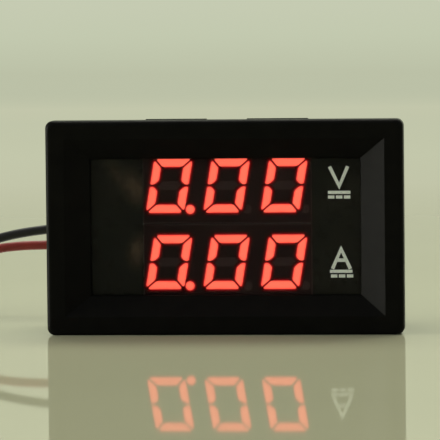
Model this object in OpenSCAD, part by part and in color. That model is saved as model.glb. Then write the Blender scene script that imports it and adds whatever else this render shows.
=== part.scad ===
// Two-row digital panel meter: volts above, amps below, on a snap-in moulded housing.
// +X is to the right and +Z up as the readout is read, and the face looks along -Y.
// The origin is under the middle of the housing, on the surface that it stands on.

/* [Housing] */
// Width of the bezel
bezel_w = 48; // [46:0.5:60]
// Height of the bezel
bezel_h = 28.8; // [28:0.1:36]
// Depth from the face to the open back
case_d = 21; // [20:0.5:30]
// Thickness of the bezel flange, which lies on the panel
flange_t = 3; // [2.6:0.1:4]
// Gap between the bezel's edge and the snap-in box, left and right
flange_side = 1.25; // [1:0.05:2]
// Gap between the bezel's edge and the snap-in box, top and bottom
flange_top = 1.15; // [1.1:0.05:2]
// Wall of the snap-in box
wall = 1.5; // [1.2:0.1:2]
// Corner radius of the bezel
corner_r = 1; // [0.6:0.1:2]
// Rounding round the front edge of the bezel
edge_r = 0.7; // [0.3:0.1:0.9]

/* [Window] */
// Width of the clear opening
view_w = 36.3; // [34:0.1:38]
// Height of the clear opening
view_h = 18.3; // [17:0.1:19]
// Width of the flat rim round the sloping surround
rim = 2.5; // [2:0.1:3]
// Depth of the pane behind the face
pane_in = 2.3; // [1.5:0.1:2.4]
// Thickness of the pane
pane_t = 1; // [0.8:0.1:1.2]

/* [Latches] */
// Width of each latch tongue
latch_w = 8.2; // [6:0.1:9]
// Distance of the tongues' middles from the centre line
latch_x = 6.85; // [6:0.05:10]
// Largest panel thickness that the latches take
panel_max = 2.5; // [1.5:0.1:3]
// Rise of the latch shoulder above the box
latch_rise = 1.15; // [0.6:0.05:1.15]

/* [Displays] */
// Width of each three-digit display
display_w = 22.8; // [22:0.1:23.5]
// Height of each three-digit display
display_h = 10.2; // [9.8:0.1:10.4]
// Depth of the display body
display_d = 6.1; // [5:0.1:7]
// Height of a digit
digit_h = 7.4; // [6:0.05:7.5]
// Width of a digit, square to its slant
digit_w = 5.3; // [4:0.05:5.4]
// Width of a lit bar
bar_w = 1.2; // [0.8:0.05:1.3]
// Spacing of the digits
digit_pitch = 7.75; // [7.4:0.05:7.8]
// Slant of the digits in degrees
digit_slant = 9.7; // [0:0.1:12]

/* [Supply lead] */
// Diameter of each thin lead over its insulation
lead_d = 1.3; // [1:0.1:1.6]

/* [Hidden] */
$fn = 48;
eps = 0.01;

// Height of the middle of the face above the surface it stands on
mid_z = bezel_h / 2;

// The box behind the bezel, outside and inside
box_w = bezel_w - 2 * flange_side;
box_h = bezel_h - 2 * flange_top;
inner_w = box_w - 2 * wall;
inner_h = box_h - 2 * wall;

// Depths behind the face, front to back
film_t = 0.15;
pane_back = pane_in + pane_t;
film_back = pane_back + film_t;
display_front = film_back + 0.05;
board_front = display_front + display_d;
board_t = 1.6;
board_back = board_front + board_t;

// Board outline, clear of the box walls
board_gap = 0.15;
board_w = inner_w - 2 * board_gap;
board_h = inner_h - 2 * board_gap;

// The displays sit one above the other, a little above and beside the middle of the face
display_x = 0.2;
display_rise = 0.35;
display_gap = 0.1;
display_z = [for (s = [1, -1]) mid_z + display_rise + s * (display_h + display_gap) / 2];

// Pins of one display: two rows of six
pin_pitch = 2.54;
pin_row = 4;
pin_count = 6;
pin_xs = [for (i = [0 : pin_count - 1]) display_x + (i - (pin_count - 1) / 2) * pin_pitch];

// Places on the back of the board: middle of each part as [x, z]
supply_at = [-12.5, 13.4];
supply_pitch = 2.5;
measure_at = [16, 11];
measure_pitch = 3.96;
shunt_at = [-13.8, 5.8];
shunt_span = 9;
shunt_wire_r = 0.8;
volt_trim_at = [12.3, 22.2];
amp_trim_at = [17.8, 22.2];
controller_at = [0, display_z[0]];
amplifier_at = [0, display_z[1]];
regulator_at = [-17.4, 22.2];
diode_at = [-11.4, 22.6];
diode_size = [4.3, 2.6, 2.1];
tantalum_at = [[-18.6, 16.4], [-18.6, 11.4]];
tantalum_size = [1.6, 3.2, 1.6];
resistor_at = [[-4.6, 8], [-4.6, 9.4], [-4.6, 10.8], [4.6, 8], [4.6, 9.4], [4.6, 10.8],
               [-5.2, 18.2], [-5.2, 19.6], [-5.2, 21], [5.2, 18.2], [9.8, 8], [9.8, 9.4],
               [9.8, 10.8], [9.8, 14.6], [9.8, 16]];
capacitor_at = [[5.2, 19.8], [5.2, 21.4], [9.2, 18.6], [-8.4, 19.4], [-8.4, 8.6], [9.8, 5.4]];

// Two-pin supply header and its plug
supply_shell = [5.75, 7.4, 7];
supply_wall = 0.85;
supply_floor = 1;
supply_pin = 0.64;
plug_gap = 0.08;
plug_head_gap = 0.1;
contact_w = 1.8;
plug_back = case_d;

// Three-pin measuring header
measure_shell = [8, 11.8, 3.3];
measure_lock = [1, 11.8, 9];
measure_pin = 1.14;
measure_pin_top = 8.6;

// Trimmers
trim_body = [4, 4.5, 2.1];
rotor_r = 1.5;
rotor_gap = 0.05;
rotor_sunk = 0.6;
rotor_t = 1.1;

// Route of the black lead from the plug to its coil, then its free tail
black_route = [[-12.5, 9.35, 14.65], [-12.5, 13.5, 14.65], [-12.9, 16, 14.4], [-14.2, 18.4, 14.2],
               [-16.4, 20.2, 13.9], [-19.2, 21, 13.5], [-22, 21.1, 13.2], [-25, 21.1, 12.8],
               [-28, 21.1, 12.4], [-31, 21.1, 12], [-34, 21, 11.4], [-37, 20.9, 10.5],
               [-40, 20.7, 9.2], [-43, 20.5, 7.6], [-46, 20.3, 5.7], [-49, 20.1, 3.8],
               [-52, 20, 2.2], [-55, 20, 1.2], [-58, 20, 0.95]];
black_tail = [[-58, 20, 3.55], [-60.5, 20, 3], [-63, 20.1, 1.8], [-65.5, 20.2, 0.8],
              [-67.5, 20.3, 0.65]];
black_hub = [-58, 12.9];

// Route of the red lead from the plug to its coil, then its free tail
red_route = [[-12.5, 9.35, 12.15], [-12.5, 13.5, 12.15], [-12.6, 16.5, 11.9], [-13.4, 19.4, 11.6],
             [-15, 22, 11.2], [-17.3, 24, 10.8], [-20, 25.1, 10.5], [-23, 25.5, 10.2],
             [-26, 25.6, 10], [-29, 25.6, 9.9], [-32, 25.6, 9.8], [-35, 25.6, 9.5],
             [-38, 25.7, 8.8], [-41, 25.8, 7.7], [-44, 25.9, 6.2], [-47, 26, 4.5],
             [-50, 26, 2.9], [-53, 26, 1.6], [-56, 26, 0.95]];
red_tail = [[-56, 26, 3.55], [-58.5, 26, 3], [-61, 25.9, 1.8], [-63.5, 25.8, 0.8],
            [-65.5, 25.7, 0.65]];
red_hub = [-56, 33.1];

// Each coil has two turns, one on the other
coil_r = 7.1;
coil_h = 3 * lead_d;
tie_t = 0.3;
tip_len = 5;
tip_r = 0.35;

// Y of a depth behind the face
function at_depth(d) = d - case_d / 2;

// Everything below is drawn in the plane of the face and given its depth by this module
module layer(from_d, to_d) {
    translate([0, at_depth(to_d), 0]) rotate([90, 0, 0]) linear_extrude(to_d - from_d) children();
}

// A rectangle with round corners about the middle of the face
module plate(w, h, r = 0) {
    translate([0, mid_z]) if (r > 0) rounded(w, h, r); else square([w, h], center = true);
}

module rounded(w, h, r) {
    square([w - 2 * r, h], center = true);
    square([w, h - 2 * r], center = true);
    for (sx = [-1, 1], sz = [-1, 1]) translate([sx * (w / 2 - r), sz * (h / 2 - r)]) circle(r);
}

// A block on the back of the board: middle [x, z], size [x, z, height], started off the board
module on_board(at, size, lift = 0) {
    layer(board_back + lift, board_back + lift + size[2])
        translate([at[0], at[1]]) square([size[0], size[1]], center = true);
}

// Outline whose sides lean in above its parting line, and below it by the same slope
function leaning(w, top, part_line, draft, under) =
    [[-w / 2 + under, 0], [w / 2 - under, 0], [w / 2, part_line],
     [w / 2 - draft, top], [-w / 2 + draft, top], [-w / 2, part_line]];

// Moulded block on the back of the board: all four sides lean in from the parting line
module moulded(at, size, lift, part_line, draft) {
    under = lift > 0 ? draft * part_line / (size[2] - part_line) : 0;
    translate([at[0], at_depth(board_back + lift), at[1]]) intersection() {
        linear_extrude(size[1], center = true)
            polygon(leaning(size[0], size[2], part_line, draft, under));
        rotate([90, 0, 90]) linear_extrude(size[0], center = true)
            polygon([for (p = leaning(size[1], size[2], part_line, draft, under)) [p[1], p[0]]]);
    }
}

// A round bar along Y between two depths
module bar_y(x, z, r, from_d, to_d) {
    translate([x, at_depth(from_d), z]) rotate([-90, 0, 0]) cylinder(r = r, h = to_d - from_d);
}

// ---- housing ----

// Bezel flange: its front edge is a quarter round worked out as a stack of insets
module flange() {
    hull() {
        for (a = [0 : 15 : 90]) {
            layer(edge_r * (1 - sin(a)), edge_r * (1 - sin(a)) + eps)
                plate(bezel_w - 2 * edge_r * (1 - cos(a)), bezel_h - 2 * edge_r * (1 - cos(a)),
                      corner_r, $fn = 32);
        }
        layer(flange_t - eps, flange_t) plate(bezel_w, bezel_h, corner_r, $fn = 32);
    }
}

// Sloping surround from the rim down to the pane
module surround_cut() {
    hull() {
        layer(-eps, 0) plate(bezel_w - 2 * rim + 2 * eps, bezel_h - 2 * rim + 2 * eps);
        layer(pane_in, pane_in + eps) plate(view_w, view_h);
    }
}

// Groove moulded behind the surround so that its wall stays even
module surround_core() {
    core_front = 1.8;
    core_back = pane_back - 0.4;
    lip_w = view_w + 3.4;
    lip_h = view_h + 3;
    difference() {
        layer(core_front, pane_back + eps) plate(inner_w, inner_h);
        hull() {
            layer(core_front - eps, core_front) plate(inner_w + eps, inner_h + eps);
            layer(core_back, pane_back + 2 * eps) plate(lip_w, lip_h);
        }
    }
}

// Slots that free a latch tongue on the top wall
module tongue_slots() {
    slot = 0.6;
    free_end = flange_t + panel_max;
    tongue_len = 8.5;
    for (sx = [-1, 1])
        translate([sx * (latch_w + slot) / 2 - slot / 2, at_depth(free_end - slot), inner_h / 2 - eps])
            cube([slot, tongue_len + slot, wall + 2 * eps]);
    translate([-latch_w / 2 - slot, at_depth(free_end - slot), inner_h / 2 - eps])
        cube([latch_w + 2 * slot, slot, wall + 2 * eps]);
}

// Wedge on the tongue: square shoulder towards the bezel, long ramp to the back
module tongue_wedge() {
    shoulder = at_depth(flange_t + panel_max);
    land = 0.8;
    ramp = 7;
    translate([-latch_w / 2, 0, box_h / 2]) rotate([90, 0, 90]) linear_extrude(latch_w)
        polygon([[shoulder, -wall / 2], [shoulder, latch_rise], [shoulder + land, latch_rise],
                 [shoulder + ramp, 0], [shoulder + ramp, -wall / 2]]);
}

// Children placed at the two latches on top and the two below
module at_latches() {
    for (sx = [-1, 1]) {
        translate([sx * latch_x, 0, mid_z]) children();
        translate([sx * latch_x, 0, mid_z]) rotate([0, 180, 0]) children();
    }
}

// Corner posts that the board rests against
module board_posts() {
    post = 1.9;
    for (sx = [-1, 1], sz = [-1, 1])
        layer(pane_back - 0.5, board_front)
            translate([sx * (inner_w - post) / 2, mid_z + sz * (inner_h - post) / 2])
                square(post + eps, center = true);
}

// Small ramped catches on the side walls, which hold the board from behind
module board_catches() {
    catch_in = 0.55;
    catch_d = 1.5;
    catch_h = 4;
    for (side = [0, 180], z = [-5.2, 5.2])
        translate([0, 0, mid_z]) rotate([0, side, 0])
            translate([0, 0, z - catch_h / 2]) linear_extrude(catch_h)
                polygon([[inner_w / 2 + eps, at_depth(board_back)],
                         [inner_w / 2 - catch_in, at_depth(board_back)],
                         [inner_w / 2 + eps, at_depth(board_back + catch_d)]]);
}

module housing() {
    color([0.05, 0.05, 0.05]) {
        difference() {
            union() {
                flange();
                layer(flange_t - 0.5, case_d) plate(box_w, box_h, 0.8);
                at_latches() tongue_wedge();
            }
            surround_cut();
            layer(pane_in, pane_back + eps) plate(view_w + 2.2, view_h + 2.2);
            surround_core();
            layer(pane_back, case_d + eps) plate(inner_w, inner_h, 0.4);
            at_latches() tongue_slots();
        }
        board_posts();
        board_catches();
    }
}

// ---- window ----

module window_pane() {
    color([0.2, 0.2, 0.2, 0.4]) layer(pane_in, pane_back) plate(view_w + 2, view_h + 2);
}

// Black film behind the pane, cut out over the two displays
module mask_film() {
    color([0.08, 0.08, 0.08]) difference() {
        layer(pane_back, film_back) plate(view_w + 2, view_h + 2);
        layer(pane_back - eps, film_back + eps)
            translate([display_x, mid_z]) square([display_w, view_h + 1], center = true);
    }
}

// ---- displays ----

// A point of a digit leans over with its height
function lean(p) = [p[0] + p[1] * tan(digit_slant), p[1]];
function leaned(ps) = [for (p = ps) lean(p)];

// Outlines of the bars about the digit's middle, with a fine gap at each mitre
bar_gap = 0.1;
bar_cut = 0.5;
da = digit_w / 2;
db = digit_h / 2;
end_bar = [[-da + bar_cut, db], [da - bar_cut, db], [da - bar_cut / 2 - bar_gap, db - bar_cut / 2],
           [da - bar_w - bar_gap, db - bar_w], [-da + bar_w + bar_gap, db - bar_w],
           [-da + bar_cut / 2 + bar_gap, db - bar_cut / 2]];
side_bar = [[-da, db - bar_cut], [-da + bar_cut / 2, db - bar_cut / 2 - bar_gap],
            [-da + bar_w, db - bar_w - bar_gap], [-da + bar_w, bar_w / 2 + bar_gap],
            [-da + bar_w / 2, bar_gap], [-da, bar_gap]];
middle_bar = [[-da + bar_w / 2 + bar_gap, 0], [-da + bar_w + bar_gap, bar_w / 2],
              [da - bar_w - bar_gap, bar_w / 2], [da - bar_w / 2 - bar_gap, 0],
              [da - bar_w - bar_gap, -bar_w / 2], [-da + bar_w + bar_gap, -bar_w / 2]];
dot_r = 0.62;
dot_at = [2.8, -3.2];
digit_shift = -0.13;

function flip(ps, sx, sz) = [for (p = ps) [sx * p[0], sz * p[1]]];

// The six bars of a nought
module nought() {
    for (sz = [-1, 1]) polygon(leaned(flip(end_bar, 1, sz)));
    for (sx = [-1, 1], sz = [-1, 1]) polygon(leaned(flip(side_bar, sx, sz)));
}

module bar_middle() {
    polygon(leaned(middle_bar));
}

module dot() {
    translate(dot_at) circle(dot_r);
}

// Children placed at the chosen digits of one display, counted from the left
module at_digits(row, which) {
    for (i = which)
        translate([display_x + digit_shift + (i - 1) * digit_pitch, display_z[row]]) children();
}

// The readout is 0.00: six bars of each digit and the first dot are lit
module lit_outline(row) {
    at_digits(row, [0, 1, 2]) nought();
    at_digits(row, [0]) dot();
}

module dark_outline(row) {
    at_digits(row, [0, 1, 2]) bar_middle();
    at_digits(row, [1, 2]) dot();
}

bar_depth = 1.5;

// Bars fill their pockets and finish flush with the front
module in_pocket() {
    layer(display_front, display_front + bar_depth) children();
}

// Moulded display body with a pocket for every bar and dot
module display_body(row) {
    difference() {
        layer(display_front, board_front)
            translate([display_x, display_z[row]]) square([display_w, display_h], center = true);
        layer(display_front - eps, display_front + bar_depth) {
            lit_outline(row);
            dark_outline(row);
        }
    }
}

module display_pins(row) {
    for (x = pin_xs, sz = [-1, 1])
        bar_y(x, display_z[row] + sz * pin_row, 0.25, board_front, board_back);
}

module volt_display() { color([0.12, 0.11, 0.11]) display_body(0); }
module amp_display() { color([0.12, 0.11, 0.11]) display_body(1); }
module volt_lit_bars() { color([1, 0.35, 0.28]) in_pocket() lit_outline(0); }
module amp_lit_bars() { color([1, 0.35, 0.28]) in_pocket() lit_outline(1); }
module volt_dark_bars() { color([0.25, 0.2, 0.2]) in_pocket() dark_outline(0); }
module amp_dark_bars() { color([0.25, 0.2, 0.2]) in_pocket() dark_outline(1); }
module volt_display_pins() { color("silver") display_pins(0); }
module amp_display_pins() { color("silver") display_pins(1); }

// ---- circuit board and what is soldered to it ----

function supply_zs() = [for (s = [1, -1]) supply_at[1] + s * supply_pitch / 2];
function measure_zs() = [for (s = [-1, 0, 1]) measure_at[1] + s * measure_pitch];
function shunt_xs() = [for (s = [-1, 1]) shunt_at[0] + s * shunt_span / 2];

module circuit_board() {
    color([0.05, 0.3, 0.15]) difference() {
        layer(board_front, board_back) plate(board_w, board_h);
        for (row = [0, 1], x = pin_xs, sz = [-1, 1])
            bar_y(x, display_z[row] + sz * pin_row, 0.4, board_front - eps, board_back + eps);
        for (z = supply_zs()) bar_y(supply_at[0], z, 0.5, board_front - eps, board_back + eps);
        for (z = measure_zs()) bar_y(measure_at[0], z, 0.85, board_front - eps, board_back + eps);
        for (x = shunt_xs()) bar_y(x, shunt_at[1], 0.9, board_front - eps, board_back + eps);
    }
}

// Gull-wing leads along the two long sides of a chip: foot, riser and shelf
module gull_leads(at, count, pitch, body_z, span_z, lead_w, rise) {
    lead_t = 0.2;
    for (i = [0 : count - 1], s = [0, 180])
        translate([at[0], 0, at[1]]) rotate([0, s, 0])
            translate([(i - (count - 1) / 2) * pitch - lead_w / 2, at_depth(board_back), 0])
                rotate([90, 0, 90]) linear_extrude(lead_w)
                    polygon([[0, span_z / 2], [lead_t, span_z / 2], [lead_t, body_z / 2 + 0.45],
                             [rise + lead_t, body_z / 2 + 0.25], [rise + lead_t, body_z / 2],
                             [rise, body_z / 2], [rise, body_z / 2 + 0.15],
                             [0, body_z / 2 + 0.35]]);
}

module controller_chip() { color([0.1, 0.1, 0.1]) chip_body(controller_at, [6.5, 4.4, 1], 0.1); }
module controller_leads() { color("silver") gull_leads(controller_at, 10, 0.65, 4.4, 6.4, 0.22, 0.5); }
module amplifier_chip() { color([0.1, 0.1, 0.1]) chip_body(amplifier_at, [4.9, 3.9, 1.4], 0.1); }
module amplifier_leads() { color("silver") gull_leads(amplifier_at, 4, 1.27, 3.9, 6, 0.42, 0.7); }

// Chip body with a pin-one dimple, lifted off the board
module chip_body(at, size, lift) {
    difference() {
        moulded(at, size, lift, size[2] / 2, 0.12);
        bar_y(at[0] - size[0] / 2 + 0.8, at[1] - size[1] / 2 + 0.8, 0.3,
              board_back + lift + size[2] - 0.1, board_back + lift + size[2] + eps);
    }
}

// Three-lead regulator with its cooling tab
module regulator() {
    color([0.1, 0.1, 0.1]) moulded(regulator_at, [4.5, 2.5, 1.5], 0, 0.4, 0.12);
}

module regulator_leads() {
    color("silver") {
        for (x = [-1.5, 0, 1.5])
            on_board([regulator_at[0] + x, regulator_at[1] - 1.7], [0.45, 0.9, 0.4]);
        on_board([regulator_at[0], regulator_at[1] + 1.6], [1.8, 0.7, 0.4]);
    }
}

module input_diode() {
    color([0.12, 0.12, 0.12]) moulded(diode_at, diode_size, 0, 0.6, 0.12);
}

module tantalum_capacitors() {
    color([0.85, 0.6, 0.15]) for (p = tantalum_at) moulded(p, tantalum_size, 0, 0.5, 0.06);
}

// Tinned tabs beside the tantalum capacitors, the diode and the trimmers
module terminal_tabs() {
    tab = 0.3;
    color("silver") {
        for (p = tantalum_at, s = [-1, 1])
            on_board([p[0], p[1] + s * (tantalum_size[1] + tab) / 2], [1.1, tab, 0.4]);
        for (s = [-1, 1])
            on_board([diode_at[0] + s * (diode_size[0] / 2 + tab), diode_at[1]], [2 * tab, 1.5, 0.35]);
        for (p = [volt_trim_at, amp_trim_at]) {
            for (s = [-1, 1])
                on_board([p[0] + s * 1.25, p[1] - trim_body[1] / 2 - tab / 2], [0.85, tab, 0.25]);
            on_board([p[0], p[1] + trim_body[1] / 2 + tab / 2], [0.85, tab, 0.25]);
        }
    }
}

module chip_resistors() {
    color([0.15, 0.15, 0.15]) for (p = resistor_at) on_board(p, [1.6, 0.8, 0.45]);
}

module chip_capacitors() {
    color([0.7, 0.55, 0.4]) for (p = capacitor_at) on_board(p, [1.6, 0.8, 0.8]);
}

// Bent wire shunt: two legs, two quarter bends and a bridge
module current_shunt() {
    bend_r = 2;
    bridge = 15.6;
    color([0.75, 0.5, 0.35]) {
        for (x = shunt_xs()) bar_y(x, shunt_at[1], shunt_wire_r, board_front, bridge - bend_r);
        translate([shunt_at[0] - shunt_span / 2 + bend_r, at_depth(bridge), shunt_at[1]])
            rotate([0, 90, 0]) cylinder(r = shunt_wire_r, h = shunt_span - 2 * bend_r);
        for (s = [0, 180])
            translate([shunt_at[0], 0, shunt_at[1]]) rotate([0, s, 0])
                translate([shunt_span / 2 - bend_r, at_depth(bridge - bend_r), 0])
                    rotate_extrude(angle = 90) translate([bend_r, 0]) circle(shunt_wire_r);
    }
}

// ---- trimmers ----

module trimmer_body(at) {
    difference() {
        on_board(at, trim_body);
        bar_y(at[0], at[1], rotor_r + rotor_gap, board_back + trim_body[2] - rotor_sunk,
              board_back + trim_body[2] + eps);
    }
}

// Turning disc with a cross slot for a small screwdriver
module trimmer_rotor(at) {
    slot_w = 0.5;
    slot_d = 0.45;
    seat = board_back + trim_body[2] - rotor_sunk + rotor_gap;
    difference() {
        bar_y(at[0], at[1], rotor_r, seat, seat + rotor_t);
        layer(seat + rotor_t - slot_d, seat + rotor_t + eps) translate(at) {
            square([slot_w, 1.6 * rotor_r], center = true);
            square([1.6 * rotor_r, slot_w], center = true);
        }
    }
}

module volt_trimmer() { color([0.9, 0.9, 0.88]) trimmer_body(volt_trim_at); }
module volt_trimmer_rotor() { color([0.8, 0.65, 0.3]) trimmer_rotor(volt_trim_at); }
module amp_trimmer() { color([0.9, 0.9, 0.88]) trimmer_body(amp_trim_at); }
module amp_trimmer_rotor() { color([0.8, 0.65, 0.3]) trimmer_rotor(amp_trim_at); }

// ---- supply header and plug ----

// Shrouded two-pin header, with two keyways through its outer wall
module supply_header() {
    key_w = 0.9;
    color([0.93, 0.92, 0.88]) difference() {
        on_board(supply_at, supply_shell);
        layer(board_back + supply_floor, board_back + supply_shell[2] + eps)
            translate(supply_at) square([supply_shell[0] - 2 * supply_wall,
                                         supply_shell[1] - 2 * supply_wall], center = true);
        for (z = supply_zs())
            layer(board_back - eps, board_back + supply_floor + eps)
                translate([supply_at[0], z]) square(supply_pin + 0.04, center = true);
        for (z = supply_zs())
            layer(board_back + supply_floor + 1, board_back + supply_shell[2] + eps)
                translate([supply_at[0] - supply_shell[0] / 2, z])
                    square([2 * supply_wall + 2 * eps, key_w], center = true);
    }
}

module supply_header_pins() {
    color("silver") for (z = supply_zs())
        layer(board_front, board_back + supply_shell[2] - 1)
            translate([supply_at[0], z]) square(supply_pin, center = true);
}

// Plug: a nose that fills the header, a head behind it, two ribs in the keyways
module supply_plug() {
    nose_w = supply_shell[0] - 2 * supply_wall - 2 * plug_gap;
    nose_h = supply_shell[1] - 2 * supply_wall - 2 * plug_gap;
    nose_front = board_back + supply_floor + 0.1;
    head_front = board_back + supply_shell[2] + plug_head_gap;
    rib = [0.6, 0.7];
    color([0.95, 0.94, 0.9]) difference() {
        union() {
            layer(nose_front, head_front + eps) translate(supply_at) square([nose_w, nose_h], center = true);
            layer(head_front, plug_back) translate(supply_at) square([5.4, 7.1], center = true);
            for (z = supply_zs())
                layer(head_front - 4, head_front + eps)
                    translate([supply_at[0] - nose_w / 2 - rib[0] / 2 + eps, z])
                        square([rib[0] + 2 * eps, rib[1]], center = true);
        }
        for (z = supply_zs())
            layer(nose_front - eps, plug_back - 1.2)
                translate([supply_at[0], z]) square(contact_w + 0.1, center = true);
        for (z = supply_zs())
            bar_y(supply_at[0], z, lead_d / 2 + 0.1, plug_back - 1.2 - eps, plug_back + eps);
    }
}

// Box contacts inside the plug
module plug_contacts() {
    color([0.8, 0.7, 0.4]) difference() {
        for (z = supply_zs())
            layer(board_back + supply_floor + 0.6, plug_back - 1.3)
                translate([supply_at[0], z]) square(contact_w, center = true);
        for (z = supply_zs())
            layer(board_back + supply_floor + 0.5, board_back + supply_shell[2] - 0.8)
                translate([supply_at[0], z]) square(supply_pin + 0.16, center = true);
    }
}

// ---- measuring header ----

// Three-pin header for the thick leads: a base with a locking wall along one side
module measuring_header() {
    notch = [2.4, 3];
    color([0.93, 0.92, 0.88]) difference() {
        union() {
            on_board(measure_at, measure_shell);
            on_board([measure_at[0] + (measure_shell[0] - measure_lock[0]) / 2, measure_at[1]],
                     measure_lock);
        }
        for (z = measure_zs())
            layer(board_back - eps, board_back + measure_shell[2] + eps)
                translate([measure_at[0], z]) square(measure_pin + 0.04, center = true);
        for (s = [-1, 1])
            layer(board_back + measure_lock[2] - notch[1], board_back + measure_lock[2] + eps)
                translate([measure_at[0] + measure_shell[0] / 2, measure_at[1] + s * measure_pitch])
                    square([4, notch[0]], center = true);
    }
}

module measuring_header_pins() {
    color("silver") for (z = measure_zs())
        layer(board_front, board_back + measure_pin_top)
            translate([measure_at[0], z]) square(measure_pin, center = true);
}

// ---- solder ----

// A cone of solder, on the back of the board or on its front
module solder_cone(x, z, r, back) {
    h = 0.7 * r;
    if (back)
        translate([x, at_depth(board_back), z]) rotate([-90, 0, 0]) cylinder(r1 = r, r2 = 0.4 * r, h = h);
    else
        translate([x, at_depth(board_front), z]) rotate([90, 0, 0]) cylinder(r1 = r, r2 = 0.4 * r, h = h);
}

// A collar of solder round a thick wire, on the back of the board
module solder_collar(x, z, r, wire_r) {
    h = 0.9;
    translate([x, at_depth(board_back), z]) rotate([-90, 0, 0]) difference() {
        cylinder(r1 = r, r2 = wire_r + 0.12, h = h);
        translate([0, 0, -eps]) cylinder(r = wire_r + 0.02, h = h + 2 * eps);
    }
}

module solder_joints() {
    color("silver") {
        for (row = [0, 1], x = pin_xs, sz = [-1, 1])
            solder_cone(x, display_z[row] + sz * pin_row, 0.7, true);
        for (z = supply_zs()) solder_cone(supply_at[0], z, 0.9, false);
        for (z = measure_zs()) solder_cone(measure_at[0], z, 1.3, false);
        for (x = shunt_xs()) solder_collar(x, shunt_at[1], 1.45, shunt_wire_r);
    }
}

// ---- supply leads ----

// Direction of a route at one of its points
function unit(v) = v / norm(v);
function heading(route, i) =
    unit(route[min(i + 1, len(route) - 1)] - route[max(i - 1, 0)]);
function side_of(h) = unit(cross(h, [0, 0, 1]));

// Ring of eight points square to the route
function ring(route, i, r) =
    let (h = heading(route, i), s = side_of(h), u = cross(s, h))
    [for (k = [0 : 7]) route[i] + r * (cos(45 * k + 22.5) * s + sin(45 * k + 22.5) * u)];

// One closed tube swept along a route
module tube(route, r) {
    n = len(route);
    points = [for (i = [0 : n - 1]) each ring(route, i, r)];
    sides = [for (i = [0 : n - 2], k = [0 : 7])
        [8 * i + k, 8 * i + (k + 1) % 8, 8 * (i + 1) + (k + 1) % 8, 8 * (i + 1) + k]];
    ends = [[for (k = [7 : -1 : 0]) k], [for (k = [0 : 7]) 8 * (n - 1) + k]];
    polyhedron(points, concat(sides, ends));
}

module black_lead() {
    color([0.05, 0.05, 0.05]) {
        tube(black_route, lead_d / 2);
        tube(black_tail, lead_d / 2);
    }
}

module red_lead() {
    color([0.75, 0.1, 0.1]) {
        tube(red_route, lead_d / 2);
        tube(red_tail, lead_d / 2);
    }
}

// Section of a coil of two turns, lifted off the surface by its tie
module coil_section(grow = 0) {
    translate([coil_r - lead_d / 2 - grow, tie_t - grow])
        square([lead_d + 2 * grow, coil_h + 2 * grow]);
}

module coil(hub) {
    translate([hub[0], hub[1], 0]) rotate_extrude() coil_section();
}

module black_coil() { color([0.05, 0.05, 0.05]) coil(black_hub); }
module red_coil() { color([0.75, 0.1, 0.1]) coil(red_hub); }

// Flat band round the turns, on the side away from the incoming lead
module tie(hub, turned) {
    span = 16;
    translate([hub[0], hub[1], 0]) rotate([0, 0, turned - span / 2])
        rotate_extrude(angle = span) difference() {
            coil_section(tie_t);
            coil_section();
        }
}

module coil_ties() {
    color([0.1, 0.1, 0.1]) {
        tie(black_hub, -90);
        tie(red_hub, 90);
    }
}

// Tinned bare ends of the two leads
module lead_tip(tail) {
    last = len(tail) - 1;
    tube([tail[last], tail[last] + tip_len * heading(tail, last)], tip_r);
}

module lead_tips() {
    color("silver") {
        lead_tip(black_tail);
        lead_tip(red_tail);
    }
}

housing();
window_pane();
mask_film();
volt_display();
volt_lit_bars();
volt_dark_bars();
volt_display_pins();
amp_display();
amp_lit_bars();
amp_dark_bars();
amp_display_pins();
circuit_board();
controller_chip();
controller_leads();
amplifier_chip();
amplifier_leads();
regulator();
regulator_leads();
input_diode();
tantalum_capacitors();
terminal_tabs();
chip_resistors();
chip_capacitors();
current_shunt();
volt_trimmer();
volt_trimmer_rotor();
amp_trimmer();
amp_trimmer_rotor();
supply_header();
supply_header_pins();
measuring_header();
measuring_header_pins();
solder_joints();
supply_plug();
plug_contacts();
black_lead();
red_lead();
black_coil();
red_coil();
coil_ties();
lead_tips();
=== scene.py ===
"""Digital panel meter: fine pieces, finishes and stage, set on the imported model."""

import math

import bmesh
import bpy
import numpy as np
from bpy.props import FloatProperty, FloatVectorProperty, PointerProperty
from mathutils import Matrix, Vector


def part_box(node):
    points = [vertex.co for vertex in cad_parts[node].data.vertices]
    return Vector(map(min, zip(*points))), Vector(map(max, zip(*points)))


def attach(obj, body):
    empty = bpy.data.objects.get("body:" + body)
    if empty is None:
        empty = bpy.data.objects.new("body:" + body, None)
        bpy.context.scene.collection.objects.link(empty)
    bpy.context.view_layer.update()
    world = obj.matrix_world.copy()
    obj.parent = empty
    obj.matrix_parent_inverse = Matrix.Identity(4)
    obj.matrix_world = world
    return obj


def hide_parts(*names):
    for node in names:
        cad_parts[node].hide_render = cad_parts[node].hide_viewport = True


bl_info = {
    "name": "Digital panel meter",
    "version": (1, 0, 0),
    "blender": (4, 5, 0),
    "location": "3D View > Sidebar > Meter",
    "description": "Dresses the packed panel meter with its fine pieces, finishes and stage",
    "category": "Object",
}

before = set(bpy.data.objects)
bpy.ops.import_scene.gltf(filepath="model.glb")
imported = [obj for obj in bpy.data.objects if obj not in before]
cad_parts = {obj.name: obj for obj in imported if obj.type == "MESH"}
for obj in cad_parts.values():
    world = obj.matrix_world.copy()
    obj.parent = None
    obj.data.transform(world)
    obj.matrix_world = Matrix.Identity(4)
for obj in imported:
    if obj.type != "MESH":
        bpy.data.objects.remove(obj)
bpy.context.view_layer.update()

MM = 0.001
UP = np.array([0.0, 0.0, 1.0])

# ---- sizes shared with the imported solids, in millimetres ----

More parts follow.
